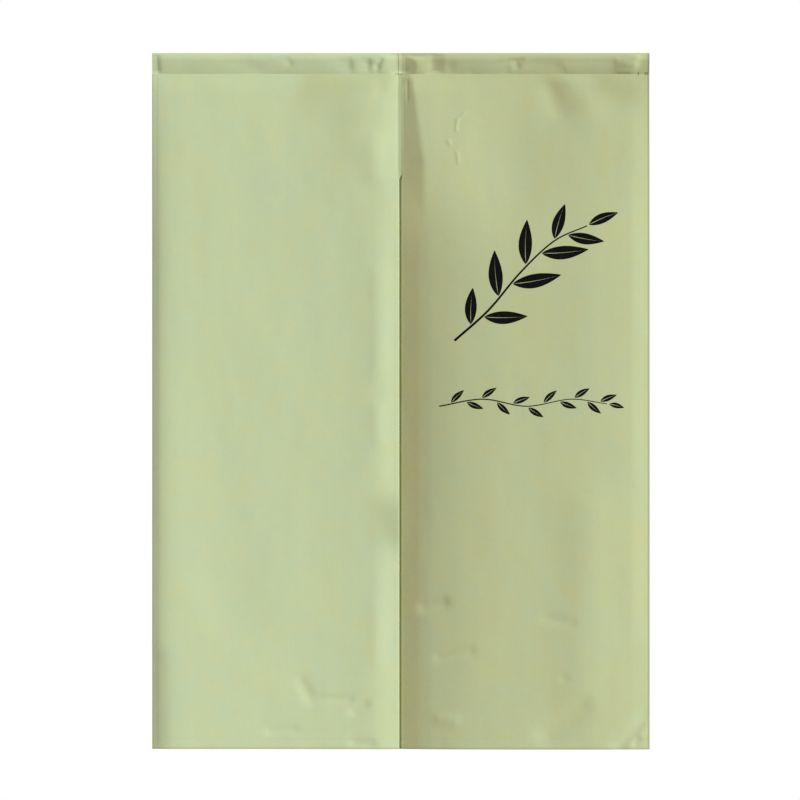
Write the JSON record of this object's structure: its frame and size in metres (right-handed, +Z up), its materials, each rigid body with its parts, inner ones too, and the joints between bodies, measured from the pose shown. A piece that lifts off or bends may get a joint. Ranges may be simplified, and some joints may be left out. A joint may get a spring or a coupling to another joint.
{
  "type": "noren curtain",
  "caption": "Split noren door curtain of pale green cloth: hemmed panels seamed at the top, free below the slit, under a rod-pocket heading.",
  "frame": {"origin": "middle of the top edge of the heading, where a rod holds the curtain up", "axes": "+Z up, +X to the right as seen from the front, the front faces -Y, the curtain hangs down to z = -1.190"},
  "size_m": [0.85, 0.0289, 1.19],
  "materials": {
    "cloth": "matte plain weave, pale sage green",
    "thread": "matte sewing thread, pale sage green",
    "print": "flat black textile print"
  },
  "bodies": {
    "root": {"heading": "cloth", "left_panel": "cloth", "right_panel": "cloth"}
  },
  "joints": []
}
